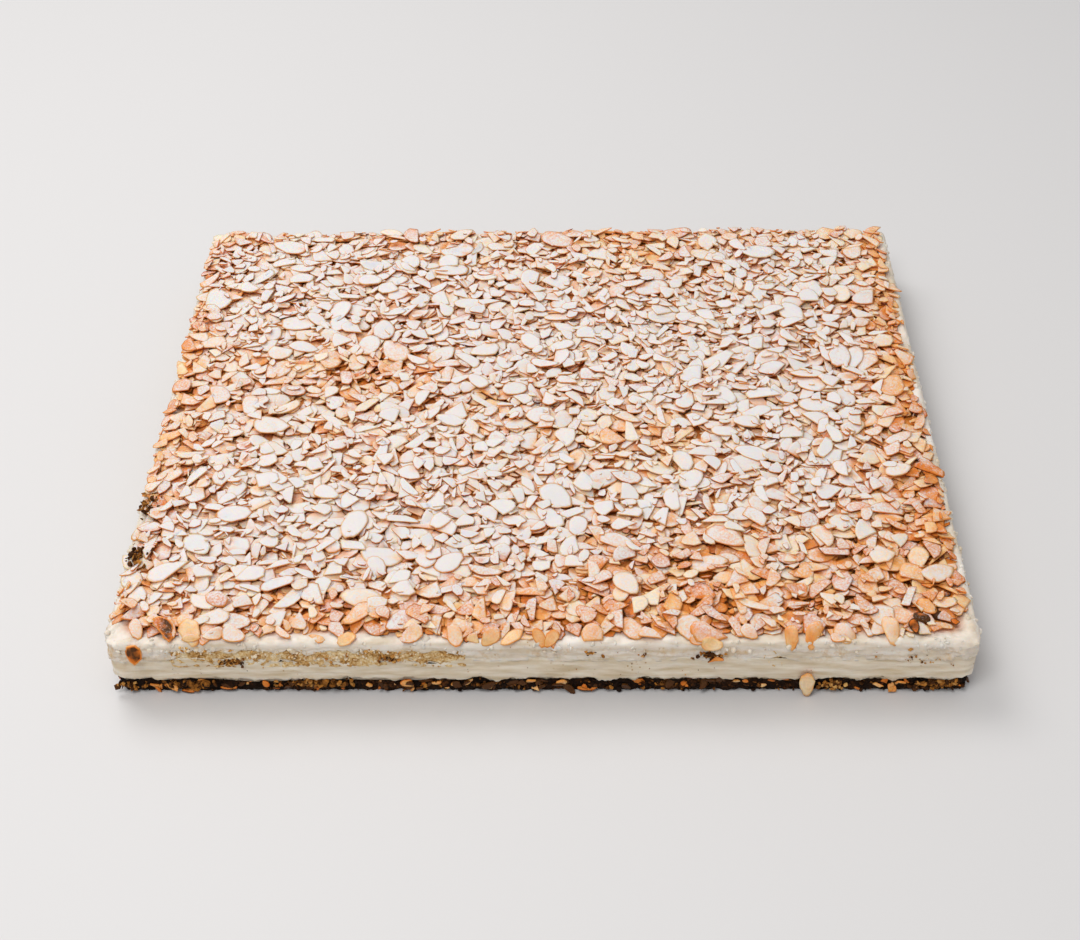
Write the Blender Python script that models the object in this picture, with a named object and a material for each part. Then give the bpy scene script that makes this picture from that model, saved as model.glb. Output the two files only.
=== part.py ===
"""Almond cream sheet cake, in metres, +Z up. It rests on Z = 0 with its middle over the origin.

From the bottom up: a dark nut base, a thick cream filling, a thin upper sponge, and a cream top
strewn with flaked almonds. The cut front side faces -Y and shows every layer.
"""

import math
import random

import bmesh
import bpy
from mathutils import Matrix, Vector

# Driving dimensions of the whole cake. The least turn keeps the rings inside it round at their corners.
WIDTH = 0.380
DEPTH = 0.320
CORNER_RADIUS = 0.006
LEAST_TURN = 0.001

# Heights of the layers, and the gap that keeps two layers apart
BASE_HEIGHT = 0.0095
FILLING_HEIGHT = 0.0145
UPPER_SPONGE_HEIGHT = 0.0045
TOP_CREAM_HEIGHT = 0.0050
LAYER_GAP = 0.0003

# Where each layer starts and ends above the ground
FILLING_BOTTOM = BASE_HEIGHT + LAYER_GAP
FILLING_TOP = BASE_HEIGHT + FILLING_HEIGHT
SPONGE_BOTTOM = FILLING_TOP + LAYER_GAP
SPONGE_TOP = FILLING_TOP + UPPER_SPONGE_HEIGHT
CREAM_TOP = SPONGE_TOP + TOP_CREAM_HEIGHT
CROWN = 0.0006

# Points round each layer: the crumbly base has the most, the rings inside the top the fewest
BASE_POINTS = 176
FILLING_POINTS = 92
SPONGE_POINTS = 128
TOP_POINTS = 120
INNER_TOP_POINTS = 48
MIDDLE_TOP_POINTS = 20

# The upper sponge shows where the knife went through it, and lies under smeared cream elsewhere.
# Each stretch is its start and end, as shares of the way round from the front left corner.
SHOWING_STRETCHES = ((0.022, 0.110), (0.196, 0.214), (0.320, 0.372), (0.560, 0.640), (0.830, 0.905))
STRETCH_FADE = 0.010
SPONGE_SHOWN_INSET = 0.0006
SPONGE_HIDDEN_INSET = 0.0042
OPEN_SIDE_INSET = -0.004

# Flaked almonds on the top: the largest ones, one to each cell of a grid
FLAKE_COLUMNS = 17
FLAKE_ROWS = 13
FLAKE_SIDES = 7
FLAKE_THICKNESS = 0.0018
FLAKE_LENGTHS = (0.0130, 0.0200)
FLAKE_BROADNESS = (0.56, 0.74)
FLAKE_MARGIN = 0.010
FLAKE_TILT = (math.radians(3), math.radians(8))
FLAKE_LIFT = (0.0006, 0.0010)
FLAKE_CURL = 0.0009
FLAKE_SEED = 21

# Almonds that hang over the front edge, flat against the crest of the cream
HANGING_FLAKES = 17
HANGING_LENGTHS = (0.0085, 0.0125)
HANGING_BROADNESS = 0.72
HANGING_TILT = (math.radians(34), math.radians(52))
HANGING_INSET = 0.0026
HANGING_DROP = 0.0006

# Nut pieces that stick out of the base
BASE_NUTS = 20
BASE_NUT_LENGTHS = (0.006, 0.010)
BASE_NUT_BROADNESS = 0.62
BASE_NUT_THICKNESS = 0.0018
BASE_NUT_INSET = 0.0020
BASE_NUT_SEED = 31

# One almond that fell and stuck to the front of the cream filling
STUCK_FLAKE_PLACE = (0.115, -DEPTH / 2 - 0.0001, 0.0118)
STUCK_FLAKE_LENGTH = 0.0125
STUCK_FLAKE_BROADNESS = 0.55
STUCK_FLAKE_SEED = 33
SMALL_FLAKE_SIDES = 6

# Colours of the layers
CREAM_COLOUR = (0.93, 0.90, 0.84)
TOP_COLOUR = (0.90, 0.80, 0.68)
SPONGE_COLOUR = (0.66, 0.46, 0.22)
BASE_COLOUR = (0.17, 0.09, 0.035)


def clear_scene():
    for obj in list(bpy.data.objects):
        bpy.data.objects.remove(obj)


def food_material(name, colour, roughness):
    material = bpy.data.materials.new(name)
    material.use_nodes = True
    surface = material.node_tree.nodes["Principled BSDF"]
    surface.inputs["Base Color"].default_value = (*colour, 1.0)
    surface.inputs["Roughness"].default_value = roughness
    surface.inputs["Metallic"].default_value = 0.0
    return material


def make_object(name, shape, material=None):
    """Turns a bmesh into a linked object and frees it."""
    bmesh.ops.recalc_face_normals(shape, faces=shape.faces)
    bmesh.ops.triangulate(shape, faces=shape.faces)
    mesh = bpy.data.meshes.new(name)
    shape.to_mesh(mesh)
    shape.free()
    if material:
        mesh.materials.append(material)
    obj = bpy.data.objects.new(name, mesh)
    bpy.context.scene.collection.objects.link(obj)
    return obj


def rim_point(share, inset=0.0):
    """The point this share of the way round a rounded rectangle, and the way out from there.

    It starts at the front left corner, and runs along the front, the right side, the back and the left.
    """
    radius = max(CORNER_RADIUS, inset + LEAST_TURN)
    run_x = WIDTH - 2 * radius
    run_y = DEPTH - 2 * radius
    turn = radius * math.pi / 2
    distance = (share % 1.0) * 2 * (run_x + run_y + 2 * turn)
    corner = Vector((-run_x / 2, -run_y / 2))
    along = Vector((1.0, 0.0))
    for run in (run_x, run_y, run_x, run_y):
        outward = Vector((along.y, -along.x))
        if distance < run:
            return corner + along * distance + outward * (radius - inset), outward
        distance -= run
        corner = corner + along * run
        if distance < turn:
            outward.rotate(Matrix.Rotation(distance / radius, 2))
            return corner + outward * (radius - inset), outward
        distance -= turn
        along = Vector((-along.y, along.x))
    return corner + Vector((inset - radius, 0.0)), Vector((-1.0, 0.0))


def ripple(share, waves, seed):
    """Smooth unevenness round the cake, from about -1 to 1. Whole numbers of waves make it close."""
    draw = random.Random(seed)
    heights = []
    for step in range(4):
        count = round(waves * (1 + 0.43 * step))
        heights.append(math.sin(2 * math.pi * (count * share + draw.random())))
    return sum(heights) / len(heights) * 1.6


def rough_ring(count, height, inset, bumps=0.0, waves=9, crumb=0.0, lift=0.0, seed=1):
    """Points round the cake at one height.

    bumps is the depth of long soft waves, crumb of a random raggedness from point to point, and lift
    how far the height itself waves up and down.
    """
    draw = random.Random(seed)
    points = []
    for step in range(count):
        share = step / count
        depth = inset(share) if callable(inset) else inset
        depth -= bumps * ripple(share, waves, seed) + draw.uniform(-crumb, crumb)
        point, _ = rim_point(share, depth)
        points.append(Vector((point.x, point.y, height + lift * ripple(share, waves, seed + 50))))
    return points


def stack_rings(name, rings, material=None):
    """A closed solid whose side joins the rings, from the bottom one to the top one."""
    shape = bmesh.new()
    loops = []
    for points in rings:
        corners = [shape.verts.new(point) for point in points]
        loops.append([shape.edges.new((a, b)) for a, b in zip(corners, corners[1:] + corners[:1])])
    for lower, upper in zip(loops, loops[1:]):
        bmesh.ops.bridge_loops(shape, edges=lower + upper)
    for end in (loops[0], loops[-1]):
        bmesh.ops.contextual_create(shape, geom=end)
    return make_object(name, shape, material)


def sponge_showing(share):
    """1 where the upper sponge reaches the side, 0 where cream covers its edge, with a short fade."""
    shown = 0.0
    for start, end in SHOWING_STRETCHES:
        rise = min(1.0, max(0.0, (share - start) / STRETCH_FADE + 0.5))
        fall = min(1.0, max(0.0, (end - share) / STRETCH_FADE + 0.5))
        shown = max(shown, min(rise, fall))
    return shown


def sponge_inset(share):
    return SPONGE_HIDDEN_INSET + (SPONGE_SHOWN_INSET - SPONGE_HIDDEN_INSET) * sponge_showing(share)


def room_inset(share):
    """The room for the sponge in the cream: a gap wider than the sponge, and open where it shows."""
    hidden = SPONGE_HIDDEN_INSET - LAYER_GAP
    return hidden + (OPEN_SIDE_INSET - hidden) * sponge_showing(share)


def flake(name, draw, length, broadness, place, thickness=FLAKE_THICKNESS, sides=FLAKE_SIDES):
    """A slice of almond: an oval with one end more pointed, slightly curled, put in place by a matrix."""
    shape = bmesh.new()
    bmesh.ops.create_circle(shape, cap_ends=True, radius=1.0, segments=sides)
    taper = draw.uniform(0.10, 0.34)
    curl = draw.uniform(0.0, FLAKE_CURL)
    for vert in shape.verts:
        wobble = draw.uniform(0.88, 1.06)
        along = vert.co.x * wobble
        across = vert.co.y * wobble * broadness * (1 - taper * vert.co.x)
        vert.co = Vector((along * length / 2, across * length / 2, curl * along * along - thickness / 2))
    top = bmesh.ops.extrude_face_region(shape, geom=shape.faces[:])["geom"]
    raised = [part for part in top if isinstance(part, bmesh.types.BMVert)]
    bmesh.ops.translate(shape, verts=raised, vec=(0.0, 0.0, thickness))
    bmesh.ops.transform(shape, matrix=place, verts=shape.verts)
    return make_object(name, shape)


def lying(x, y, z, heading, tilt, tilt_heading):
    """Where a flake lies: turned to its heading, then tilted about a level axis."""
    axis = Vector((math.cos(tilt_heading), math.sin(tilt_heading), 0.0))
    return Matrix.Translation((x, y, z)) @ Matrix.Rotation(tilt, 4, axis) @ Matrix.Rotation(heading, 4, "Z")


def fuse(body, pieces):
    """Joins the pieces to the body with one applied union, then removes them."""
    bunch = bpy.data.collections.new("pieces of " + body.name)
    for piece in pieces:
        bpy.context.scene.collection.objects.unlink(piece)
        bunch.objects.link(piece)
    bpy.context.scene.collection.children.link(bunch)
    union = body.modifiers.new("union", "BOOLEAN")
    union.operation = "UNION"
    union.operand_type = "COLLECTION"
    union.collection = bunch
    union.solver = "MANIFOLD"
    apply_modifiers(body)
    for piece in pieces:
        bpy.data.objects.remove(piece)
    bpy.data.collections.remove(bunch)


def apply_modifiers(obj):
    graph = bpy.context.evaluated_depsgraph_get()
    mesh = bpy.data.meshes.new_from_object(obj.evaluated_get(graph))
    obj.modifiers.clear()
    obj.data = mesh


def top_flakes(draw):
    """The largest almond flakes, spread evenly over the top and sunk a little into the cream."""
    flakes = []
    step_x = (WIDTH - 2 * FLAKE_MARGIN) / FLAKE_COLUMNS
    step_y = (DEPTH - 2 * FLAKE_MARGIN) / FLAKE_ROWS
    for column in range(FLAKE_COLUMNS):
        for row in range(FLAKE_ROWS):
            stagger = 0.25 if row % 2 else -0.25
            x = (column + 0.5 + stagger + draw.uniform(-0.14, 0.14)) * step_x - WIDTH / 2 + FLAKE_MARGIN
            y = (row + 0.5 + draw.uniform(-0.20, 0.20)) * step_y - DEPTH / 2 + FLAKE_MARGIN
            z = CREAM_TOP + CROWN + draw.uniform(*FLAKE_LIFT)
            heading = draw.uniform(0, math.tau)
            place = lying(x, y, z, heading, draw.uniform(*FLAKE_TILT), draw.uniform(0, math.tau))
            length = draw.uniform(*FLAKE_LENGTHS)
            broadness = draw.uniform(*FLAKE_BROADNESS)
            flakes.append(flake(f"flake_{column}_{row}", draw, length, broadness, place))
    return flakes


def hanging_flakes(draw):
    """Almonds that tip over the front edge, flat against the crest of the cream."""
    flakes = []
    for number in range(HANGING_FLAKES):
        x = ((number + 0.5 + draw.uniform(-0.3, 0.3)) / HANGING_FLAKES - 0.5) * (WIDTH - 0.03)
        tilt = draw.uniform(*HANGING_TILT)
        heading = math.pi / 2 + draw.uniform(-0.7, 0.7)
        place = lying(x, HANGING_INSET - DEPTH / 2, CREAM_TOP - HANGING_DROP, heading, tilt, 0.0)
        length = draw.uniform(*HANGING_LENGTHS)
        name = f"hanging_{number}"
        flakes.append(flake(name, draw, length, HANGING_BROADNESS, place, sides=SMALL_FLAKE_SIDES))
    return flakes


def base_nuts(draw):
    """Nut pieces that stick out of the crumb round the base."""
    nuts = []
    for number in range(BASE_NUTS):
        share = (number + draw.uniform(0.2, 0.8)) / BASE_NUTS
        point, outward = rim_point(share, BASE_NUT_INSET)
        height = draw.uniform(0.40, 0.56) * BASE_HEIGHT
        heading = math.atan2(outward.y, outward.x) + math.pi / 2 + draw.uniform(-0.4, 0.4)
        place = lying(point.x, point.y, height, heading, draw.uniform(-0.30, 0.30), heading)
        length = draw.uniform(*BASE_NUT_LENGTHS)
        name = f"nut_{number}"
        nut = flake(name, draw, length, BASE_NUT_BROADNESS, place, BASE_NUT_THICKNESS, SMALL_FLAKE_SIDES)
        nuts.append(nut)
    return nuts


def stuck_flake(draw):
    """The flake that stands upright against the front of the cream filling."""
    upright = Matrix.Rotation(math.radians(90), 4, "X") @ Matrix.Rotation(math.radians(78), 4, "Z")
    place = Matrix.Translation(STUCK_FLAKE_PLACE) @ upright
    name = "stuck_flake"
    return flake(name, draw, STUCK_FLAKE_LENGTH, STUCK_FLAKE_BROADNESS, place, sides=SMALL_FLAKE_SIDES)


def build_base():
    """The dark nut base: flat underneath, with a crumbly side and nut pieces in it."""
    rings = [
        rough_ring(BASE_POINTS, 0.0, 0.0030, crumb=0.0008, seed=11),
        rough_ring(BASE_POINTS, BASE_HEIGHT * 0.36, 0.0020, bumps=0.0004, waves=17, crumb=0.0008, seed=12),
        rough_ring(BASE_POINTS, BASE_HEIGHT * 0.74, 0.0018, bumps=0.0004, waves=23, crumb=0.0008, seed=13),
        rough_ring(BASE_POINTS, BASE_HEIGHT, 0.0024, crumb=0.0006, seed=14),
    ]
    base = stack_rings("nut_base", rings, food_material("nut_sponge", BASE_COLOUR, 0.85))
    fuse(base, base_nuts(random.Random(BASE_NUT_SEED)))


def build_filling():
    """The thick cream filling, scraped nearly smooth, so that its side only waves a little."""
    rings = [
        rough_ring(FILLING_POINTS, FILLING_BOTTOM, 0.0012, bumps=0.0004, seed=21),
        rough_ring(FILLING_POINTS, FILLING_BOTTOM + 0.0035, 0.0003, bumps=0.0005, seed=21),
        rough_ring(FILLING_POINTS, FILLING_TOP - 0.0045, 0.0001, bumps=0.0005, seed=22),
        rough_ring(FILLING_POINTS, FILLING_TOP, 0.0005, bumps=0.0003, seed=22),
    ]
    filling = stack_rings("cream_filling", rings, food_material("whipped_cream", CREAM_COLOUR, 0.55))
    fuse(filling, [stuck_flake(random.Random(STUCK_FLAKE_SEED))])


def build_upper_sponge():
    """The thin golden sponge between the filling and the cream top."""
    rings = [
        rough_ring(SPONGE_POINTS, SPONGE_BOTTOM, sponge_inset, seed=41),
        rough_ring(SPONGE_POINTS, SPONGE_TOP, sponge_inset, crumb=0.0001, seed=42),
    ]
    stack_rings("upper_sponge", rings, food_material("golden_sponge", SPONGE_COLOUR, 0.85))


def build_top():
    """The cream top: it laps over the edge of the upper sponge, and carries the almonds."""
    rings = [
        rough_ring(TOP_POINTS, SPONGE_BOTTOM, 0.0007, bumps=0.0003, seed=51),
        rough_ring(TOP_POINTS, SPONGE_TOP, 0.0001, bumps=0.0006, waves=13, seed=52),
        rough_ring(TOP_POINTS, CREAM_TOP - 0.0026, 0.0002, bumps=0.0008, waves=17, seed=53),
        rough_ring(TOP_POINTS, CREAM_TOP - 0.0004, 0.0030, bumps=0.0009, waves=19, lift=0.0004, seed=54),
        rough_ring(INNER_TOP_POINTS, CREAM_TOP + CROWN, 0.0110, seed=55),
        rough_ring(MIDDLE_TOP_POINTS, CREAM_TOP + CROWN * 1.4, 0.0800, seed=56),
    ]
    material = food_material("cream_and_almonds", TOP_COLOUR, 0.6)
    top = stack_rings("cream_top_with_almonds", rings, material)
    room_rings = [
        rough_ring(SPONGE_POINTS, SPONGE_BOTTOM - 0.001, room_inset),
        rough_ring(SPONGE_POINTS, SPONGE_TOP + LAYER_GAP, room_inset),
    ]
    room = stack_rings("room_for_upper_sponge", room_rings)
    hollow = top.modifiers.new("room for the sponge", "BOOLEAN")
    hollow.operation = "DIFFERENCE"
    hollow.object = room
    hollow.solver = "EXACT"
    apply_modifiers(top)
    bpy.data.objects.remove(room)
    draw = random.Random(FLAKE_SEED)
    fuse(top, top_flakes(draw) + hanging_flakes(draw))


clear_scene()
build_base()
build_filling()
build_upper_sponge()
build_top()
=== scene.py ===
import math

import bmesh
import bpy
import numpy as np
from mathutils import Matrix, Vector, noise


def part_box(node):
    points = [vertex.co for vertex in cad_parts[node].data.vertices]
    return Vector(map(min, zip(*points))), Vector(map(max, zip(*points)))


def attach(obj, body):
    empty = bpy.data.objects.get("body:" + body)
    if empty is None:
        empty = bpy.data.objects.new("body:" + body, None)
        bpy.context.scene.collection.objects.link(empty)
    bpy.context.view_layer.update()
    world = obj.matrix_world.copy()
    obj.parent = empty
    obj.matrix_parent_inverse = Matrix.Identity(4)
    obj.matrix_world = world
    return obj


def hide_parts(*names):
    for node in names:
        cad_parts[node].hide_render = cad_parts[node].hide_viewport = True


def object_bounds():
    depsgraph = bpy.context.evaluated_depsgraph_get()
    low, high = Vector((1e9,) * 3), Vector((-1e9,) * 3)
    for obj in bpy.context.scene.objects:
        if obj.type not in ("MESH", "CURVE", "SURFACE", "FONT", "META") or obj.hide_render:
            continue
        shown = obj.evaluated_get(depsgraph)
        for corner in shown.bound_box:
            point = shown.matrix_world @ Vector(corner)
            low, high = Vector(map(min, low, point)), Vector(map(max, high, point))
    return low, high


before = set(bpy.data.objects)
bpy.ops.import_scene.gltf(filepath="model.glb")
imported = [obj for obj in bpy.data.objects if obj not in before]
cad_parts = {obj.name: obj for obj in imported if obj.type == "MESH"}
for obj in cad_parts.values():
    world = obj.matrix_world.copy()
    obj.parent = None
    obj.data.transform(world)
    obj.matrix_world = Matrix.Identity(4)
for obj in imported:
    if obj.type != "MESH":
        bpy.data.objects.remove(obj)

cad_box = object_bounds()


# Nut base: a dark, moist sponge of ground nuts, baked flat and cut with the cake. Its side is open
# crumb, set back a little under the cream. It is one block, with the roughness of the cut in its mesh.
CAKE_WIDTH = 0.380
CAKE_DEPTH = 0.320
CORNER_RADIUS = 0.006
BASE_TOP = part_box("nut_base")[1].z
BASE_INSET = 0.0024
BASE_UNDERCUT = 0.0012
BASE_LUMPS = 0.0011
BASE_CRUMB = 0.0006
LUMP_SIZE = 5.0
CRUMB_SIZE = 1.5
BASE_STEP = 0.0009
BASE_ROWS = 12
NUT_TONES = ((0.0, "0f0703"), (0.45, "1f1006"), (0.75, "301908"), (1.0, "5c3517"))


def per(millimetres):
    """The pattern scale, in repeats to the metre, that gives a pattern of this real size."""
    return 1000 / millimetres


def srgb(colour):
    """A hex colour as linear light, which is what the shader's sockets hold."""
    channels = [int(colour[start:start + 2], 16) / 255 for start in (0, 2, 4)]
    linear = [c / 12.92 if c <= 0.04045 else ((c + 0.055) / 1.055) ** 2.4 for c in channels]
    return (*linear, 1.0)


def connect(tree, node, values):
    """Sets a node's sockets. A value is a number or colour, or a node or socket to link to it."""
    for socket, value in values.items():
        if isinstance(value, bpy.types.Node):
            value = value.outputs[0]
        if isinstance(value, bpy.types.NodeSocket):
            tree.links.new(value, node.inputs[socket])
        else:
            node.inputs[socket].default_value = value


def add(tree, kind, values=None, stops=(), **settings):
    """Adds a shader node with its settings and sockets, and with the stops of its colour ramp if any."""
    made = tree.nodes.new("ShaderNode" + kind)
    for name, setting in settings.items():
        setattr(made, name, setting)
    connect(tree, made, values or {})
    for position, colour in stops[1:-1]:
        made.color_ramp.elements.new(position).color = srgb(colour)
    if stops:
        for end in (0, -1):
            made.color_ramp.elements[end].position = stops[end][0]
            made.color_ramp.elements[end].color = srgb(stops[end][1])
    return made


def new_material(name, **sockets):
    """A material with its Principled shader, whose plain sockets are set by name."""
    material = bpy.data.materials.new(name)
    material.use_nodes = True
    surface = material.node_tree.nodes["Principled BSDF"]
    for socket, value in sockets.items():
        surface.inputs[socket.replace("_", " ")].default_value = value
    return material, material.node_tree, surface


def outward(point):
    """The level way out of the cake from a point on or near its outline."""
    reach_x = CAKE_WIDTH / 2 - CORNER_RADIUS
    reach_y = CAKE_DEPTH / 2 - CORNER_RADIUS
    near = Vector((max(-reach_x, min(reach_x, point.x)), max(-reach_y, min(reach_y, point.y)), 0.0))
    return (Vector((point.x, point.y, 0.0)) - near).normalized()


def outline(shape, height, step):
    """The cake's outline at one height: a rectangle with round corners, in edges of about one step."""
    size = Matrix.Diagonal((CAKE_WIDTH, CAKE_DEPTH, 1.0, 1.0))
    bmesh.ops.create_grid(shape, x_segments=1, y_segments=1, size=0.5, matrix=size)
    bmesh.ops.translate(shape, verts=shape.verts, vec=(0.0, 0.0, height))
    bmesh.ops.bevel(shape, geom=shape.verts[:], affect="VERTICES", offset=CORNER_RADIUS, segments=5,
                    profile=0.5, material=-1)
    bmesh.ops.delete(shape, geom=shape.faces[:], context="FACES_ONLY")
    by_cuts = {}
    for edge in shape.edges:
        by_cuts.setdefault(round(edge.calc_length() / step) - 1, []).append(edge)
    for cuts, edges in by_cuts.items():
        if cuts > 0:
            bmesh.ops.subdivide_edges(shape, edges=edges, cuts=cuts)
    return shape.edges[:]


def extrude_loop(shape, loop, move):
    """Extrudes a closed loop of edges by a level or upright move, and gives the new loop."""
    made = bmesh.ops.extrude_edge_only(shape, edges=loop)["geom"]
    points = [part for part in made if isinstance(part, bmesh.types.BMVert)]
    bmesh.ops.translate(shape, verts=points, vec=move)
    return [part for part in made if isinstance(part, bmesh.types.BMEdge)]


def slab(bottom, top, step, rows):
    """A block of the cake's outline, closed by plain faces, with its side in rows of small faces."""
    shape = bmesh.new()
    lower = outline(shape, bottom, step)
    upper = lower
    for _ in range(rows):
        upper = extrude_loop(shape, upper, (0.0, 0.0, (top - bottom) / rows))
    bmesh.ops.contextual_create(shape, geom=lower)
    bmesh.ops.contextual_create(shape, geom=upper)
    bmesh.ops.recalc_face_normals(shape, faces=shape.faces)
    return shape


def shift_out(shape, way_out):
    """Moves each point out of the cake by what the function says for its place."""
    moves = [outward(vert.co) * way_out(vert.co) for vert in shape.verts]
    for vert, move in zip(shape.verts, moves):
        vert.co += move


def place_mesh(mesh, name, material, smooth=False):
    """Makes a finished mesh an object at the origin, which rides on the cake's one body."""
    if smooth:
        mesh.shade_smooth()
    else:
        mesh.shade_flat()
    mesh.materials.append(material)
    mesh.name = name
    piece = bpy.data.objects.new(name, mesh)
    bpy.context.scene.collection.objects.link(piece)
    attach(piece, "root")
    return piece


def finish_layer(shape, name, material, node, smooth=True):
    """Makes the bmesh the piece that stands for one node of the plain cake."""
    mesh = bpy.data.meshes.new(name)
    shape.to_mesh(mesh)
    shape.free()
    piece = place_mesh(mesh, name, material, smooth)
    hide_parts(node)


def lumps(point, size, octaves=3):
    """Even unevenness from about -1 to 1, with lumps of this size in millimetres."""
    return noise.fractal(point * per(size), 0.9, 2.1, octaves)


def base_way_out(point):
    """How the base's side stands: set back, more so at its foot, with lumps and open crumb."""
    share = point.z / BASE_TOP
    foot = BASE_UNDERCUT * max(0.0, 1 - share * 3)
    ragged = BASE_LUMPS * lumps(point, LUMP_SIZE) + BASE_CRUMB * lumps(point, CRUMB_SIZE, 2)
    return ragged - BASE_INSET - foot


def nut_sponge():
    """Baked nut sponge: moist and dull, near black in its pores and brown on the broken crumb."""
    material, tree, surface = new_material("nut_sponge", Roughness=0.85, Specular_IOR_Level=0.12)
    place = add(tree, "TexCoord").outputs["Object"]
    patch = add(tree, "TexNoise", {"Vector": place, "Scale": per(9), "Detail": 3.0})
    crumb = add(tree, "TexNoise", {"Vector": place, "Scale": per(1.3), "Detail": 4.0})
    cells = add(tree, "TexVoronoi", {"Vector": place, "Scale": per(2.2)})
    tone = add(tree, "Math", {0: crumb, 1: patch}, operation="ADD")
    spread = add(tree, "MapRange", {"Value": tone, "From Min": 0.72, "From Max": 1.32})
    ramp = add(tree, "ValToRGB", {"Fac": spread}, NUT_TONES)
    height = add(tree, "SeparateXYZ", {0: place}).outputs["Z"]
    wavy = add(tree, "Math", {0: patch, 1: 0.004, 2: height}, operation="MULTIPLY_ADD")
    smear = add(tree, "MapRange", {
        "Value": wavy, "From Min": BASE_TOP + 0.0012, "From Max": BASE_TOP + 0.0021})
    creamy = add(tree, "Mix", {"Factor": smear, "A": ramp, "B": srgb("d8c8ac")}, data_type="RGBA")
    relief = add(tree, "Math", {0: crumb, 1: cells}, operation="ADD")
    bump = add(tree, "Bump", {"Height": relief, "Distance": 0.0006, "Strength": 0.8})
    connect(tree, surface, {"Base Color": creamy.outputs["Result"], "Normal": bump})
    return material


base = slab(0.0, BASE_TOP, BASE_STEP, BASE_ROWS)
shift_out(base, base_way_out)
finish_layer(base, "nut_base_crumb", nut_sponge(), "nut_base", smooth=False)


# Nut pieces and crumbs: broken nuts and crumbs of the base that the knife pulled out. They stick out
# of its side, from dark crumb to pale nut, and a few lie higher up on the cream.
CHUNKS_IN_BASE = 1500
CHUNK_SIZES = (0.0007, 0.0024)
CHUNK_HEIGHTS = (0.12, 0.95)
CHUNK_DEPTHS = (-0.0006, 0.0006)
CHUNK_TONE = (0.04, 0.20)
CHUNK_SEED = 5
CRUMB_TONES = ((0.12, "1a0c05"), (0.4, "55300f"), (0.62, "b0712c"), (0.82, "dcae68"), (1.0, "ecdcc0"))


def joined_chunks(places, sizes, tones, seed, flattest=0.22, knock=0.25, rounds=1):
    """Many small broken pieces as one mesh: each is a ball, squashed and pushed out of shape."""
    draw = np.random.default_rng(seed)
    ball = bmesh.new()
    bmesh.ops.create_icosphere(ball, subdivisions=rounds, radius=1.0)
    corners = np.array([vert.co for vert in ball.verts])
    faces = np.array([[vert.index for vert in face.verts] for face in ball.faces])
    ball.free()
    count = len(places)
    stretch = draw.uniform(flattest, 1.3, (count, 1, 3))
    knocks = draw.uniform(1 - knock, 1 + knock, (count, len(corners), 1))
    turns = [np.array(Matrix.Rotation(angle, 3, Vector(axis).normalized()))
             for angle, axis in zip(draw.uniform(0, math.tau, count), draw.normal(size=(count, 3)))]
    local = corners[None] * stretch * knocks * np.array(sizes)[:, None, None] / 2
    points = np.einsum("cij,cvj->cvi", np.array(turns), local) + np.array(places)[:, None]
    steps = np.arange(count)[:, None, None] * len(corners)
    mesh = bpy.data.meshes.new("chunks")
    mesh.from_pydata(points.reshape(-1, 3).tolist(), [], (faces[None] + steps).reshape(-1, 3).tolist())
    write_attribute(mesh, "tone", np.repeat(tones, len(corners)))
    return mesh


def write_attribute(mesh, name, values):
    """Gives every point of a mesh a number that its material reads."""
    attribute = mesh.attributes.new(name, "FLOAT", "POINT")
    attribute.data.foreach_set("value", np.asarray(values, np.float32).ravel())


def rim_places(draw, count):
    """Random places on the cake's outline, with the way out from each."""
    run_x = CAKE_WIDTH - 2 * CORNER_RADIUS
    run_y = CAKE_DEPTH - 2 * CORNER_RADIUS
    found = []
    for along in draw.uniform(0, 2 * (run_x + run_y), count):
        side = int(along > run_x) + int(along > run_x + run_y) + int(along > 2 * run_x + run_y)
        offset = along - (0, run_x, run_x + run_y, 2 * run_x + run_y)[side]
        if side % 2 == 0:
            sign = -1 if side == 0 else 1
            found.append((Vector((offset - run_x / 2, sign * CAKE_DEPTH / 2, 0.0)), Vector((0.0, sign, 0.0))))
        else:
            sign = 1 if side == 1 else -1
            found.append((Vector((sign * CAKE_WIDTH / 2, offset - run_y / 2, 0.0)), Vector((sign, 0.0, 0.0))))
    return found


def broken_crumb():
    """Broken nut and sponge crumb: dull, from near black through golden brown to pale nut."""
    material, tree, surface = new_material("broken_nut_and_crumb", Roughness=0.8, Specular_IOR_Level=0.15)
    tone = add(tree, "Attribute", attribute_name="tone").outputs["Fac"]
    place = add(tree, "TexCoord").outputs["Object"]
    grain = add(tree, "TexNoise", {"Vector": place, "Scale": per(0.9), "Detail": 2.0})
    mixed = add(tree, "Math", {0: grain, 1: 0.3, 2: tone}, operation="MULTIPLY_ADD")
    ramp = add(tree, "ValToRGB", {"Fac": mixed}, CRUMB_TONES)
    bump = add(tree, "Bump", {"Height": grain, "Distance": 0.0003, "Strength": 0.6})
    connect(tree, surface, {"Base Color": ramp, "Normal": bump})
    return material


crumb_material = broken_crumb()
chunk_draw = np.random.default_rng(CHUNK_SEED)
chunk_places = []
for point, way_out in rim_places(chunk_draw, CHUNKS_IN_BASE):
    point.z = chunk_draw.uniform(*CHUNK_HEIGHTS) * BASE_TOP
    chunk_places.append(point - way_out * (BASE_INSET + chunk_draw.uniform(*CHUNK_DEPTHS)))
chunk_sizes = chunk_draw.uniform(*CHUNK_SIZES, CHUNKS_IN_BASE) * chunk_draw.uniform(0.5, 1.3, CHUNKS_IN_BASE)
chunk_tones = np.clip(chunk_draw.normal(*CHUNK_TONE, CHUNKS_IN_BASE), -0.1, 0.75)
chunks = joined_chunks(chunk_places, chunk_sizes, chunk_tones, CHUNK_SEED)
place_mesh(chunks, "base_nut_pieces", crumb_material)

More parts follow.
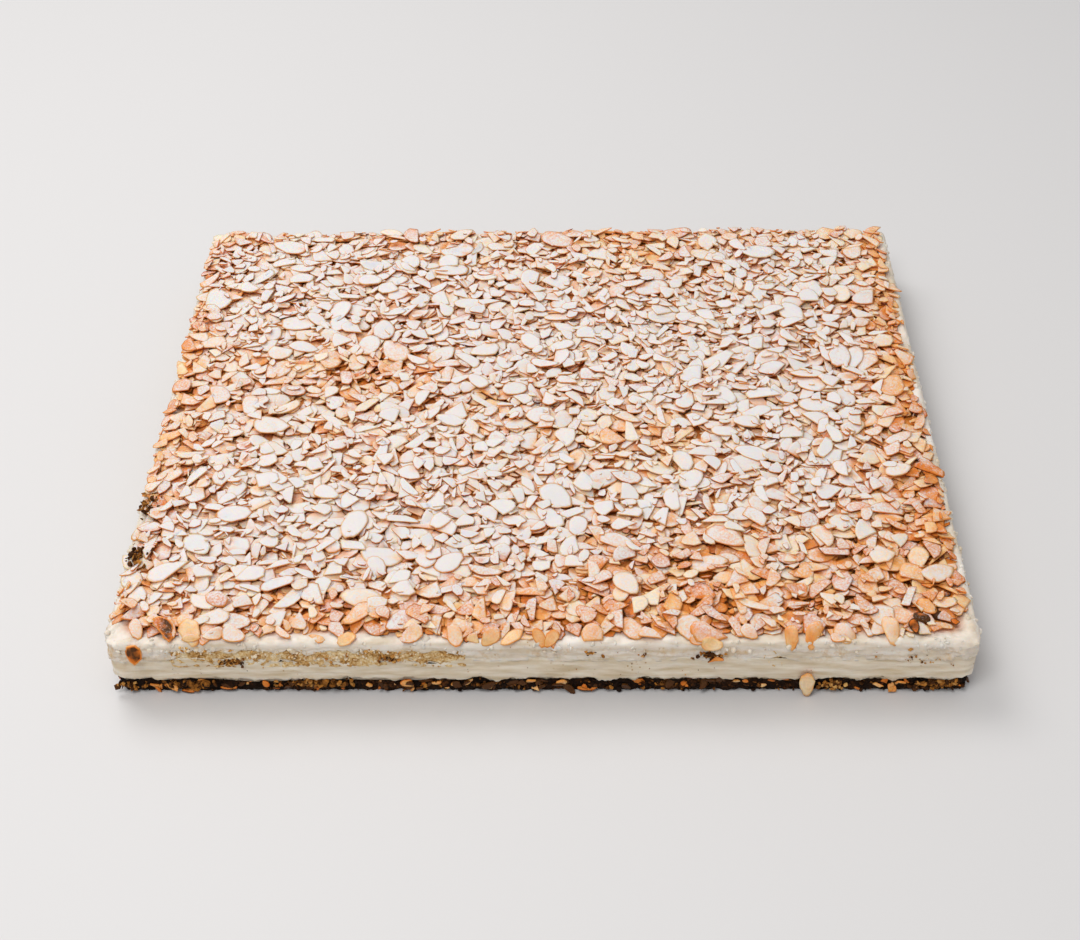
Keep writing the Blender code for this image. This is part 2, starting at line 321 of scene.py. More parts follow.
# Each cluster on the front: x, z of its middle and its half width and height in mm, how far its face
# is set in, its count of pieces, their smallest and largest size in mm, and its tone.
FRONT_CLUSTERS = (
    (-182, 4.4, 6, 2.8, 1.7, 44, 0.9, 3, 0.36),
    (-156, 5.4, 12, 2.8, 2, 70, 2, 5, 0.2),
    (-101, 6.8, 17, 2.6, 1.6, 150, 0.7, 3, 0.34),
    (-20, 4.5, 16, 2.6, 2.1, 70, 0.9, 2.4, 0.16),
    (60, 5.4, 22, 2.6, 2.1, 70, 0.8, 2.2, 0.2),
    (128, 5.2, 6, 3.2, 1.5, 60, 1, 2.8, 0.42),
    (174, 5, 12, 3.2, 1.8, 80, 1.2, 3.6, 0.3),
    (-135, 22, 5.2, 2.4, -0.2, 80, 1, 2.4, 0.4),
    (-67, 23.6, 5, 1.8, -0.1, 44, 0.8, 2, 0.38),
    (-150, 16.5, 44, 3.6, 0.1, 10, 0.3, 0.9, 0.4),
    (40, 16.5, 130, 4, 0.1, 18, 0.3, 0.9, 0.4),
    (74, 25.8, 6, 1.8, 0.2, 44, 1.2, 3, 0.3),
    (67, 23.6, 2.2, 1.4, 0.1, 9, 0.8, 1.8, 0.3),
    (44, 25.6, 2.6, 3.4, 0.1, 12, 0.5, 1.4, 0.44),
    (167, 22.4, 12, 3.4, 0.1, 34, 0.4, 1.3, 0.48),
    (21, 27.2, 2.6, 1.1, 0, 14, 1, 2, 0.34),
)
CLUSTER_TONES = (-0.26, 0.24)
CLUSTER_FLATTEST = 0.16
CLUSTER_KNOCK = 0.45
LEFT_CRUMB_PATCHES = ((-0.1850, -0.074), (-0.1845, -0.108))
PATCH_PIECES = 46
PATCH_SPREAD = 0.0022
PATCH_BOTTOM = 0.0352
PATCH_SIZES = (0.0012, 0.0034)
PATCH_TONES = (0.12, 0.24, 0.34, 0.50)

cluster_places, cluster_sizes, cluster_tones = [], [], []
for x, z, half_wide, half_high, inset, count, smallest, largest, tone in FRONT_CLUSTERS:
    for _ in range(count):
        along, up = np.clip(chunk_draw.normal(0, 0.45, 2), -1, 1)
        outside = CAKE_DEPTH / 2 - (inset + chunk_draw.uniform(-0.4, 0.5)) / 1000
        cluster_places.append(Vector(((x + along * half_wide) / 1000, -outside, (z + up * half_high) / 1000)))
        cluster_sizes.append(chunk_draw.uniform(smallest, largest) / 1000)
        cluster_tones.append(tone + chunk_draw.uniform(*CLUSTER_TONES))
for x, y in LEFT_CRUMB_PATCHES:
    for _ in range(PATCH_PIECES):
        aside, along = chunk_draw.normal(0, PATCH_SPREAD, 2)
        height = PATCH_BOTTOM + chunk_draw.uniform(0, PATCH_SPREAD)
        cluster_places.append(Vector((x + aside, y + along * 1.5, height)))
        cluster_sizes.append(chunk_draw.uniform(*PATCH_SIZES))
        cluster_tones.append(chunk_draw.choice(PATCH_TONES))
clusters = joined_chunks(
    cluster_places, cluster_sizes, cluster_tones, CHUNK_SEED, CLUSTER_FLATTEST, CLUSTER_KNOCK)
place_mesh(clusters, "crumb_clusters", crumb_material)


# Cream filling: thick whipped cream, spread on the base and scraped flat with a knife when the cake
# was cut. The knife left long low ridges, small pits, and a ragged lower lip over the base.
FILLING_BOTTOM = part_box("nut_base")[1].z + 0.0003
FILLING_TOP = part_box("cream_filling")[1].z
FILLING_STEP = 0.0013
FILLING_ROWS = 20
LIP_DROP = 0.0032
TORN_DROP = 0.0040
LIP_HEIGHT = 0.0045
TORN_HEIGHT = 0.006
# Where the sponge is bare, as shares of the way round the cake from its front left corner.
SHOWING_STRETCHES = ((0.022, 0.110), (0.208, 0.208), (0.320, 0.372), (0.560, 0.640), (0.830, 0.905))
STRETCH_FADE = 0.012
SCRAPE_WAVES = 0.00045
SCRAPE_RIDGES = 0.00018


def lumps_round(point, size, octaves=3):
    """Unevenness at a place on the outline, the same at every height."""
    return lumps(Vector((point.x, point.y, 0.0)), size, octaves)


def share_round(point):
    """How far round the outline a point is, from 0 to 1: the front, right side, back, then left side."""
    total = 2 * (CAKE_WIDTH + CAKE_DEPTH)
    way_out = outward(point)
    if abs(way_out.y) >= abs(way_out.x):
        if way_out.y < 0:
            return (point.x + CAKE_WIDTH / 2) / total
        return (CAKE_WIDTH + CAKE_DEPTH + CAKE_WIDTH / 2 - point.x) / total
    if way_out.x > 0:
        return (CAKE_WIDTH + point.y + CAKE_DEPTH / 2) / total
    return (2 * CAKE_WIDTH + CAKE_DEPTH + CAKE_DEPTH / 2 - point.y) / total


def sponge_showing(point):
    """1 where the sponge is bare, 0 where cream covers it, with a ragged fade between."""
    share = share_round(point) + 0.004 * lumps_round(point, 12)
    shown = 0.0
    for start, end in SHOWING_STRETCHES:
        shown = max(shown, min(1.0, (share - start) / STRETCH_FADE + 0.5, (end - share) / STRETCH_FADE + 0.5))
    return max(0.0, shown)


def scraped(point):
    """The low relief of scraped cream: long soft waves, and fine ridges that run along the side."""
    soft = lumps(Vector((point.x * 0.5, point.y * 0.5, point.z * 1.4)), 9)
    ridges = lumps(Vector((point.x * 0.12, point.y * 0.12, point.z)), 1.6, 2)
    return SCRAPE_WAVES * soft + SCRAPE_RIDGES * ridges


def filling_way_out(point):
    """The scraped side, a little rounded in at its lower lip."""
    up = (point.z - FILLING_BOTTOM) / (FILLING_TOP - FILLING_BOTTOM)
    tuck = 0.0012 * max(0.0, 1 - up * 7) ** 2
    return scraped(point) - 0.0004 - tuck


def whipped_cream(name, warm, pale, specks):
    """Whipped cream: white and soft, with a faint gloss, a little light passing in, and crumb specks.
    Under the almonds it is painted a warm orange, which is painted shade with painted bounce light from the
    flakes."""
    material, tree, surface = new_material(
        name, Roughness=0.46, Subsurface_Weight=0.25, Subsurface_Radius=(0.9, 0.6, 0.4),
        Subsurface_Scale=0.003)
    place = add(tree, "TexCoord").outputs["Object"]
    along = add(tree, "Mapping", {"Vector": place, "Scale": (0.15, 0.15, 1.0)})
    streaks = add(tree, "TexNoise", {"Vector": along, "Scale": per(3.0), "Detail": 4.0})
    fine = add(tree, "TexNoise", {"Vector": place, "Scale": per(0.8), "Detail": 3.0})
    patch = add(tree, "TexNoise", {"Vector": place, "Scale": per(14), "Detail": 3.0})
    smeared = add(tree, "MapRange", {"Value": streaks, "From Min": 0.34, "From Max": 0.64})
    white = add(tree, "Mix", {"Factor": smeared, "A": srgb(warm), "B": srgb(pale)}, data_type="RGBA")
    height = add(tree, "SeparateXYZ", {0: place}).outputs["Z"]
    rising = add(tree, "MapRange", {"Value": height, "From Min": 0.0195, "From Max": 0.0250})
    falling = add(tree, "MapRange", {
        "Value": height, "From Min": 0.0285, "From Max": 0.0315, "To Min": 1.0, "To Max": 0.0})
    band = add(tree, "Math", {0: rising, 1: falling}, operation="MULTIPLY")
    crumbs = add(tree, "TexNoise", {"Vector": place, "Scale": per(3.2), "Detail": 5.0, "Roughness": 0.7})
    rubbed = add(tree, "Math", {0: patch, 1: 0.9, 2: crumbs}, operation="MULTIPLY_ADD")
    stain = add(tree, "MapRange", {"Value": rubbed, "From Min": 0.98, "From Max": 1.22, "To Max": 0.75})
    stained = add(tree, "Math", {0: stain, 1: band}, operation="MULTIPLY")
    covered = add(tree, "Attribute", attribute_name="covered").outputs["Fac"]
    dots = add(tree, "TexVoronoi", {"Vector": place, "Scale": per(2.6), "Randomness": 1.0})
    spot = add(tree, "MapRange", {
        "Value": dots, "From Min": 0.10, "From Max": 0.22, "To Min": 1.0, "To Max": 0.0})
    where = add(tree, "MapRange", {"Value": patch, "From Min": 1 - specks, "From Max": 1.08 - specks})
    speck = add(tree, "Math", {0: spot, 1: where}, operation="MULTIPLY")
    # The covered share paints the cream under the almonds c8793a orange: painted shade and painted bounce
    # light from the flakes.
    for share, colour in ((stained, "c9a062"), (covered, "c8793a"), (speck, "b08a55")):
        white = add(tree, "Mix", {
            "Factor": share, "A": white.outputs["Result"], "B": srgb(colour)}, data_type="RGBA")
    rough = add(tree, "Math", {0: streaks, 1: fine}, operation="ADD")
    bump = add(tree, "Bump", {"Height": rough, "Distance": 0.0005, "Strength": 0.35})
    connect(tree, surface, {"Base Color": white.outputs["Result"], "Normal": bump})
    return material


# The filling's tones are the cream's own colour darkened and warmed with painted shade and a painted warm
# bounce, as its cut face lies in shade.
filling_cream = whipped_cream("scraped_whipped_cream", "cdb896", "eadecb", 0.44)
filling = slab(FILLING_BOTTOM, FILLING_TOP, FILLING_STEP, FILLING_ROWS)
shift_out(filling, filling_way_out)
for vert in filling.verts:
    lowness = max(0.0, 1 - (vert.co.z - FILLING_BOTTOM) / LIP_HEIGHT)
    if lowness > 0:
        ragged = 0.7 * lumps_round(vert.co, 6, 5) + 0.4 * lumps_round(vert.co, 1.7, 2)
        vert.co.z -= LIP_DROP * lowness * max(-0.55, ragged + 0.1)
    highness = max(0.0, 1 - (FILLING_TOP - vert.co.z) / TORN_HEIGHT)
    if highness > 0:
        torn = max(0.0, 0.25 + 1.3 * lumps_round(vert.co, 9, 4))
        vert.co.z -= TORN_DROP * highness * sponge_showing(vert.co) * min(1.0, torn)
finish_layer(filling, "scraped_cream_filling", filling_cream, "cream_filling")


# Upper sponge: a thin golden sheet of sponge. Where the knife left it bare it shows as open, dry
# crumb; elsewhere it lies under cream that was smeared over its edge.
SPONGE_BOTTOM, SPONGE_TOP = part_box("upper_sponge")[0].z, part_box("upper_sponge")[1].z
SPONGE_HIDDEN_INSET = 0.0042
SPONGE_SHOWN_INSET = 0.0004
SPONGE_CRUMB = 0.0007
SPONGE_FOOT = 0.0058
SPONGE_STEP = 0.0008
SPONGE_ROWS = 14
SPONGE_TONES = ((0.0, "7d5527"), (0.3, "b98a4c"), (0.62, "d9bb88"), (1.0, "efe0c2"))


def sponge_way_out(point):
    """The sponge's edge: open crumb where it is bare, drawn back where cream covers it."""
    bare = min(1.0, sponge_showing(point) * 3)
    inset = SPONGE_HIDDEN_INSET + (SPONGE_SHOWN_INSET - SPONGE_HIDDEN_INSET) * bare
    return SPONGE_CRUMB * (lumps(point, 2.2) + 0.6 * lumps(point, 0.9, 1)) - inset


def golden_sponge():
    """Dry golden sponge crumb: matt, with brown pores and pale crumbs."""
    material, tree, surface = new_material("golden_sponge_crumb", Roughness=0.85, Specular_IOR_Level=0.2)
    place = add(tree, "TexCoord").outputs["Object"]
    crumb = add(tree, "TexNoise", {"Vector": place, "Scale": per(1.1), "Detail": 4.0})
    patch = add(tree, "TexNoise", {"Vector": place, "Scale": per(8), "Detail": 2.0})
    tone = add(tree, "Math", {0: crumb, 1: patch}, operation="ADD")
    spread = add(tree, "MapRange", {"Value": tone, "From Min": 0.7, "From Max": 1.3})
    ramp = add(tree, "ValToRGB", {"Fac": spread}, SPONGE_TONES)
    bump = add(tree, "Bump", {"Height": crumb, "Distance": 0.0006, "Strength": 0.8})
    connect(tree, surface, {"Base Color": ramp, "Normal": bump})
    return material


sponge = slab(SPONGE_BOTTOM - SPONGE_FOOT, SPONGE_TOP, SPONGE_STEP, SPONGE_ROWS)
shift_out(sponge, sponge_way_out)
finish_layer(sponge, "upper_sponge_crumb", golden_sponge(), "upper_sponge", smooth=False)


# Loose sponge crumbs: crumbs and bits of the upper sponge, dragged over the cream by the knife. They
# lie thick round the bare sponge, from gold to near white, and thin along the rest of the side.
LOOSE_CRUMBS = 6500
CRUMB_SEED = 12
CRUMB_BAND = (0.0212, 0.0308)
BAND_MIDDLE = 0.0266
BAND_WANDER = 0.0030
BAND_SPREAD = 0.0022
LOOSE_SIZES = (0.0007, 0.0015)
LOOSE_TONES = (0.50, 0.64, 0.76, 0.88, 0.98)

crumb_draw = np.random.default_rng(CRUMB_SEED)
crumb_places = []
crumb_tones = []
for point, way_out in rim_places(crumb_draw, LOOSE_CRUMBS):
    middle = BAND_MIDDLE + BAND_WANDER * lumps_round(point, 22)
    point.z = float(np.clip(crumb_draw.normal(middle, BAND_SPREAD), *CRUMB_BAND))
    shown = sponge_showing(point)
    gathered = lumps(point, 9) + 0.7 * lumps(point, 3)
    if crumb_draw.random() > 0.05 + 0.95 * shown or gathered < 0.05 + 0.05 * shown:
        continue
    crumb_places.append(point + way_out * crumb_draw.uniform(-0.0005, 0.0001))
    crumb_tones.append(crumb_draw.choice(LOOSE_TONES) + crumb_draw.normal(0, 0.05))
crumbs_left = len(crumb_places)
crumb_sizes = crumb_draw.uniform(*LOOSE_SIZES, crumbs_left) * crumb_draw.uniform(0.6, 1.6, crumbs_left)
loose = joined_chunks(crumb_places, crumb_sizes, crumb_tones, CRUMB_SEED)
place_mesh(loose, "loose_sponge_crumbs", crumb_material)


# Cream top: whipped cream spread over the upper sponge. It shows as a bright wavy crest along the cut
# front, as lumps at the corners, and as a strip down the right side that the almonds don't reach.
CREAM_LEVEL = SPONGE_TOP + 0.0038
CREAM_STEP = 0.0010
CREST_ROUND = 0.0022
CREST_INSETS = (0.0004, 0.0009, 0.0015, 0.0022, 0.0030, 0.0039, 0.0049, 0.0060, 0.0073, 0.0088, 0.0105,
                0.0125, 0.0150, 0.0180, 0.0220)
SKIRT_ROWS = 14
SKIRT_HIDDEN_BOTTOM = FILLING_TOP - 0.0022
SKIRT_SHOWN_BOTTOM = SPONGE_TOP - 0.0004
SKIRT_SLOPE = 0.06
CEILING = SPONGE_TOP + 0.0003
SKIRT_TURN_IN = 0.0030
CREST_REACH = 0.021
CREST_PEAK = 0.003
CORNER_REACH = 0.028
# From this inset in, over this fade, the cream under the almonds is painted with shade and bounce light.
PAINTED_SHADE_FROM = 0.0055
PAINTED_SHADE_FADE = 0.0040
CREAM_BLOBS = 900
BLOB_SIZES = (0.0009, 0.0026)
BLOB_SEED = 21


def edge_distance(x, y):
    """How far inside the cake's straight outline a point is."""
    return min(CAKE_WIDTH / 2 - abs(x), CAKE_DEPTH / 2 - abs(y))


def corner_share(x, y):
    """1 at the two front corners, where the cream is rougher, and near 0 past their reach."""
    away = math.hypot(CAKE_WIDTH / 2 - abs(x), CAKE_DEPTH / 2 + y)
    return math.exp(-(away / CORNER_REACH) ** 2)


def cream_height(x, y):
    """The top of the cream: level inside, a lumpy crest near the edge, and a rounded edge."""
    point = Vector((x, y, 0.0))
    inside = max(0.0, edge_distance(x, y))
    near = max(0.0, 1 - inside / CREST_REACH)
    height = CREAM_LEVEL + near * (0.0005 * lumps(point, 24) + 0.0007 * lumps(point, 7))
    ridged = 0.0009 * lumps(point, 10) + 0.0009 * abs(lumps(point, 4.5, 2)) - 0.0004
    height += math.exp(-((inside - CREST_PEAK) / CREST_PEAK) ** 2) * (0.0010 + ridged)
    height += corner_share(x, y) * (0.0018 * lumps(point, 7) + 0.0008 * lumps(point, 3, 2))
    if inside < CREST_ROUND:
        height -= CREST_ROUND - math.sqrt(CREST_ROUND ** 2 - (CREST_ROUND - inside) ** 2)
    return height


def skirt_bottom(point):
    """Where the cream ends below: over the filling where it covers the sponge, above it elsewhere."""
    shown = sponge_showing(point)
    ragged = 0.0024 * lumps_round(point, 7, 4)
    bottom = SKIRT_HIDDEN_BOTTOM + (SKIRT_SHOWN_BOTTOM - SKIRT_HIDDEN_BOTTOM) * shown
    return bottom + ragged * (0.3 + 0.9 * shown)


def loop_points(loop):
    """The points of a loop of edges."""
    return {vert for edge in loop for vert in edge.verts}


top = bmesh.new()
# The covered layer marks where the cream's material paints shade and bounce light under the almonds.
covered = top.verts.layers.float.new("covered")
rim_loop = outline(top, 0.0, CREAM_STEP)
for vert in top.verts:
    vert.co.z = cream_height(vert.co.x, vert.co.y)
loop = rim_loop
before = 0.0
for inset in CREST_INSETS:
    loop = extrude_loop(top, loop, (0.0, 0.0, 0.0))
    for vert in loop_points(loop):
        vert.co.x *= (CAKE_WIDTH / 2 - inset) / (CAKE_WIDTH / 2 - before)
        vert.co.y *= (CAKE_DEPTH / 2 - inset) / (CAKE_DEPTH / 2 - before)
        vert.co.z = cream_height(vert.co.x, vert.co.y)
        vert[covered] = min(1.0, max(0.0, (inset - PAINTED_SHADE_FROM) / PAINTED_SHADE_FADE))
    before = inset
bmesh.ops.contextual_create(top, geom=loop)
skirt = rim_loop
skirt_verts = loop_points(rim_loop)
for row in range(SKIRT_ROWS):
    skirt = extrude_loop(top, skirt, (0.0, 0.0, 0.0))
    row_verts = loop_points(skirt)
    for vert in row_verts:
        vert.co.z += (skirt_bottom(vert.co) - vert.co.z) / (SKIRT_ROWS - row)
    skirt_verts |= row_verts
for vert in skirt_verts:
    drawn_in = max(0.0, CREAM_LEVEL - vert.co.z) * SKIRT_SLOPE
    rough = 1 + 1.4 * corner_share(vert.co.x, vert.co.y)
    froth = rough * (0.0005 * lumps(vert.co, 5) + 0.0005 * abs(lumps(vert.co, 2.6, 2)))
    vert.co += outward(vert.co) * (scraped(vert.co) + froth - drawn_in)
skirt = extrude_loop(top, skirt, (0.0, 0.0, 0.0))
for vert in loop_points(skirt):
    vert.co -= outward(vert.co) * SKIRT_TURN_IN
skirt = extrude_loop(top, skirt, (0.0, 0.0, 0.0))
for vert in loop_points(skirt):
    vert.co.z = CEILING
bmesh.ops.contextual_create(top, geom=skirt)
bmesh.ops.recalc_face_normals(top, faces=top.faces)
top_cream = whipped_cream("spread_whipped_cream", "d4c2a8", "ebe1d5", 0.42)
finish_layer(top, "spread_cream_top", top_cream, "cream_top_with_almonds")

blob_draw = np.random.default_rng(BLOB_SEED)
blob_places = []
for point, way_out in rim_places(blob_draw, CREAM_BLOBS):
    inset = abs(blob_draw.normal(0, 0.0016)) - 0.0002
    spot = point - way_out * inset
    deepest = 0.0030 if inset < 0.0008 else 0.0010
    spot.z = cream_height(spot.x, spot.y) - blob_draw.uniform(0.0004, deepest)
    blob_places.append(spot)
blob_sizes = blob_draw.uniform(*BLOB_SIZES, CREAM_BLOBS) * blob_draw.uniform(0.6, 1.4, CREAM_BLOBS)
blobs = joined_chunks(blob_places, blob_sizes, np.zeros(CREAM_BLOBS), BLOB_SEED, 0.35, 0.20, 2)
place_mesh(blobs, "cream_crest_lumps", top_cream, smooth=True)


# Flaked almonds: thin slices of almond, toasted, then strewn three or four deep over the cream. Whole
# slices are ovals with one end more pointed; most are broken, with straight edges. They are dropped one
# by one on a map of heights, so that each leans on what lies under it.
CELL = 0.0008
MAP_MARGIN = 0.006
FLAKE_SEED = 77
STEEPEST = math.tan(math.radians(30))
HEAP_TOP = cad_box[1].z + 0.0007
INNER_SHARE = 0.78
WOBBLE = 0.06
MOSTLY_ON = 0.87
BURIED_FROM = 0.0005
BURIED_FADE = 0.0016
TOAST_UNEVEN = 0.15
DARKEST_TOAST = 0.58
SUGAR_UNEVEN = 0.12
FRONT_BARE = 0.0040
RIGHT_BARE = 0.0022
OVERHANG = 0.0010
LEFT_CORNER_BARE = 0.020
RIGHT_CORNER_BARE = 0.018
ALMOND_TONES = ((0.30, "fde0bc"), (0.48, "fac992"), (0.68, "f2a052"), (0.90, "da7420"), (1.0, "54300f"))

heights_x = np.arange(-CAKE_WIDTH / 2 - MAP_MARGIN, CAKE_WIDTH / 2 + MAP_MARGIN, CELL)
heights_y = np.arange(-CAKE_DEPTH / 2 - MAP_MARGIN, CAKE_DEPTH / 2 + MAP_MARGIN, CELL)
heap = np.array([[cream_height(x, y) if edge_distance(x, y) > 0 else 0.0 for y in heights_y]
                 for x in heights_x])


def cut_off(rim, facing, reach):
    """Cuts an outline straight off past this reach in the direction it faces."""
    way = np.array([math.cos(facing), math.sin(facing)])
    over = rim @ way - reach
    kept = []
    for here in range(len(rim)):
        after = (here + 1) % len(rim)
        if over[here] <= 0:
            kept.append(rim[here])
        if (over[here] > 0) != (over[after] > 0):
            share = over[here] / (over[here] - over[after])
            kept.append(rim[here] + (rim[after] - rim[here]) * share)
    return np.array(kept)


def slice_outline(draw, length, breadth, cuts, points):
    """The outline of one slice about its middle: an oval with one end more pointed, then broken off
    along straight lines."""
    angles = (np.arange(points) + draw.uniform(0, 1)) * math.tau / points
    taper = draw.uniform(0.05, 0.34)
    uneven = draw.uniform(0.91, 1.06, points)
    rim = np.stack([np.cos(angles) * uneven * length / 2,
                    np.sin(angles) * uneven * (1 - taper * np.cos(angles)) * breadth / 2], 1)
    for _ in range(cuts):
        cut = cut_off(rim, draw.uniform(0, math.tau), draw.uniform(-0.05, 0.36) * breadth)
        if len(cut) > 3:
            rim = cut - cut.mean(0)
    return rim


def footprint(x, y, rim, turn):
    """The part of the height map under a flake: its bounds, the offsets of its cells, and the cover."""
    far = np.hypot(rim[:, 0], rim[:, 1]).max()
    low_x, high_x = np.searchsorted(heights_x, (x - far, x + far))
    low_y, high_y = np.searchsorted(heights_y, (y - far, y + far))
    dx, dy = np.meshgrid(heights_x[low_x:high_x] - x, heights_y[low_y:high_y] - y, indexing="ij")
    heading = (np.arctan2(rim[:, 1], rim[:, 0]) + turn) % math.tau
    order = np.argsort(heading)
    reach = np.hypot(rim[:, 0], rim[:, 1])[order]
    limit = np.interp(np.arctan2(dy, dx) % math.tau, heading[order], reach, period=math.tau)
    return (slice(low_x, high_x), slice(low_y, high_y)), dx, dy, np.hypot(dx, dy) < limit + CELL * 0.3


def drop(draw, x, y, rim, thickness, rest=0.84):
    """Lets a flake fall on the heap. Gives its middle and its three axes, or None off the cake."""
    turn = draw.uniform(0, math.tau)
    part, dx, dy, covered = footprint(x, y, rim, turn)
    under = heap[part]
    held = covered & (under > 0.01)
    if held.sum() < 3 or held.sum() < MOSTLY_ON * covered.sum():
        return None
    px, py, pz = dx[held], dy[held], under[held]
    slope_x, slope_y, level = np.linalg.lstsq(np.stack([px, py, np.ones_like(px)], 1), pz, rcond=None)[0]
    slope_x, slope_y = slope_x + draw.normal(0, WOBBLE), slope_y + draw.normal(0, WOBBLE)
    slope = math.hypot(slope_x, slope_y)
    if slope > STEEPEST:
        slope_x, slope_y = slope_x * STEEPEST / slope, slope_y * STEEPEST / slope
    level = np.quantile(pz - slope_x * px - slope_y * py, rest)
    turned_x = rim[:, 0] * math.cos(turn) - rim[:, 1] * math.sin(turn)
    turned_y = rim[:, 0] * math.sin(turn) + rim[:, 1] * math.cos(turn)
    tip = (slope_x * turned_x + slope_y * turned_y).max()
    if level + tip + thickness > HEAP_TOP:
        slope_x, slope_y, tip = slope_x * 0.3, slope_y * 0.3, tip * 0.3
        level = min(np.quantile(pz - slope_x * px - slope_y * py, 0.75), HEAP_TOP - tip - thickness)
    plane = level + slope_x * dx + slope_y * dy
    heap[part] = np.where(held, np.maximum(under, plane + thickness), under)
    normal = Vector((-slope_x, -slope_y, 1.0)).normalized()
    rise = slope_x * math.cos(turn) + slope_y * math.sin(turn)
    along = Vector((math.cos(turn), math.sin(turn), rise)).normalized()
    return Vector((x, y, level)) + normal * (thickness / 2), along, normal.cross(along), normal


# Icing sugar lies as a thin veil, thicker where the sieve passed; the almonds are brownest at the
# edges. Each patch: how much more or less, then x and y of its middle and of its reach, in mm.
SUGAR_VEIL = 1.0
SUGAR_PATCHES = (
    (0.56, -100, -85, 85, 36), (0.60, 112, 35, 45, 80), (0.50, -15, 65, 70, 45),
    (0.46, -130, 105, 55, 35), (0.36, -10, -60, 50, 40), (-0.40, 100, -118, 130, 34),
    (-0.70, -200, 20, 28, 150), (-0.76, 198, 10, 36, 190), (-0.56, 30, 172, 230, 24),
    (-0.46, -60, -156, 170, 24), (-0.46, -90, 30, 55, 26), (-0.42, 35, -30, 45, 24),
    (-0.42, 55, 125, 35, 28),
)
EVEN_TOAST = 0.26
TOAST_PATCHES = (
    (0.14, 90, -125, 120, 45), (0.18, -200, 20, 30, 140), (0.16, 195, -20, 35, 150),
    (0.14, 0, 170, 220, 25), (0.16, -80, -160, 140, 24), (0.10, -85, 30, 50, 30),
)


def patched(x, y, amount, patches):
    """An amount that is even over the cake but for soft round patches with more or less of it."""
    for gain, middle_x, middle_y, reach_x, reach_y in patches:
        off_x = (x - middle_x / 1000) / (reach_x / 1000)
        off_y = (y - middle_y / 1000) / (reach_y / 1000)
        amount = amount + gain * np.exp(-off_x ** 2 - off_y ** 2)
    return amount


# The largest slices that lie on top: x, y, length and breadth in mm.
LARGE_SLICES = (
    (-170, -118, 21, 10.5), (-162, 100, 15, 11), (-131, -56, 18, 11), (-87, -88, 19, 11.5),
    (-129, -121, 16, 9.5), (-62, -130, 12.5, 9), (-48, -86, 17, 9), (-102, -66, 14, 9),
    (-75, -42, 15.5, 8.5), (-96, 108, 14, 9), (-121, 72, 14.5, 8), (125, 54, 14, 9),
    (142, 18, 15, 8.5), (99, -14, 13.5, 9.5), (30, 92, 14, 8.5), (-8, 52, 14.5, 9),
    (60, -72, 16, 9), (14, -112, 14.5, 9), (38, -128, 15, 11), (168, -52, 14, 8.5),
    (-34, 18, 13.5, 8), (152, -110, 17, 10),
)


class FlakeBatch:
    """Gathers flakes and joins them in one mesh. Each has flat sides, a cut edge and a slight curl."""

    def __init__(self):
        self.points, self.places, self.rims, self.toasts, self.sugars = [], [], [], [], []
        self.faces, self.cut_faces = [], []
        self.count = 0

    def gather(self, draw, rim, thickness, placed, toast, curl=0.035, rim_toast=None, extra_sugar=0.0):
        middle, along, across, normal = (np.array(part) for part in placed)
        size = len(rim)
        far = np.hypot(rim[:, 0], rim[:, 1]).max()
        bends = draw.normal(0, curl, 3) / max(0.004, far)
        flat = np.concatenate([[[0.0, 0.0]], rim * INNER_SHARE, rim, rim * 0.97])
        lift = np.concatenate([[0.5], np.full(size, 0.5), np.full(size, 0.40), np.full(size, -0.5)])
        rise = (lift * thickness + bends[0] * flat[:, 0] ** 2 + bends[1] * flat[:, 1] ** 2
                + bends[2] * flat[:, 0] * flat[:, 1])
        rise -= (np.abs(bends).sum() * far ** 2) * 0.2
        placed_points = middle + flat[:, :1] * along + flat[:, 1:] * across + rise[:, None] * normal
        placed_points[:, 2] = np.clip(placed_points[:, 2], 0.0002, HEAP_TOP)
        self.points.append(placed_points)
        first = self.count + 1
        for here in range(size):
            after = (here + 1) % size
            self.faces.append((self.count, first + here, first + after))
            self.faces.append((first + here, first + size + here, first + size + after, first + after))
            self.cut_faces.append(len(self.faces))
            self.faces.append((first + size + here, first + 2 * size + here, first + 2 * size + after,
                               first + size + after))
        self.cut_faces.append(len(self.faces))
        self.faces.append(tuple(range(first + 3 * size - 1, first + 2 * size - 1, -1)))
        self.places.append(flat / far)
        self.rims.append(np.concatenate([np.zeros(1 + size), np.full(size, 0.45), np.ones(size)]))
        edge = toast if rim_toast is None else rim_toast
        self.toasts.append(np.concatenate([np.full(1 + size, toast), np.full(2 * size, edge)]))
        self.sugars.append(np.full(1 + 3 * size, extra_sugar))
        self.count += 1 + 3 * size

    def mesh(self, name):
        points = np.concatenate(self.points)
        mesh = bpy.data.meshes.new(name)
        mesh.from_pydata(points.tolist(), [], self.faces)
        column = np.clip(np.searchsorted(heights_x, points[:, 0]), 0, len(heights_x) - 1)
        row = np.clip(np.searchsorted(heights_y, points[:, 1]), 0, len(heights_y) - 1)
        # buried: how far a point lies under the top of the heap, which the material paints as shade and uses
        # to thin the sugar.
        buried = np.clip((heap[column, row] - points[:, 2] - BURIED_FROM) / BURIED_FADE, 0.0, 1.0)
        write_attribute(mesh, "rim", np.concatenate(self.rims))
        write_attribute(mesh, "toast", np.concatenate(self.toasts))
        write_attribute(mesh, "buried", buried)
        fallen = patched(points[:, 0], points[:, 1], SUGAR_VEIL, SUGAR_PATCHES)
        write_attribute(mesh, "sugar", fallen + np.concatenate(self.sugars))
        corner_points = np.zeros(len(mesh.loops), np.int32)
        mesh.loops.foreach_get("vertex_index", corner_points)
        slice_places = np.concatenate(self.places)[corner_points]
        mesh.uv_layers.new(name="slice").data.foreach_set("uv", slice_places.astype(np.float32).ravel())
        place_mesh(mesh, name, almond, smooth=True)
        for number in self.cut_faces:
            mesh.polygons[number].use_smooth = False


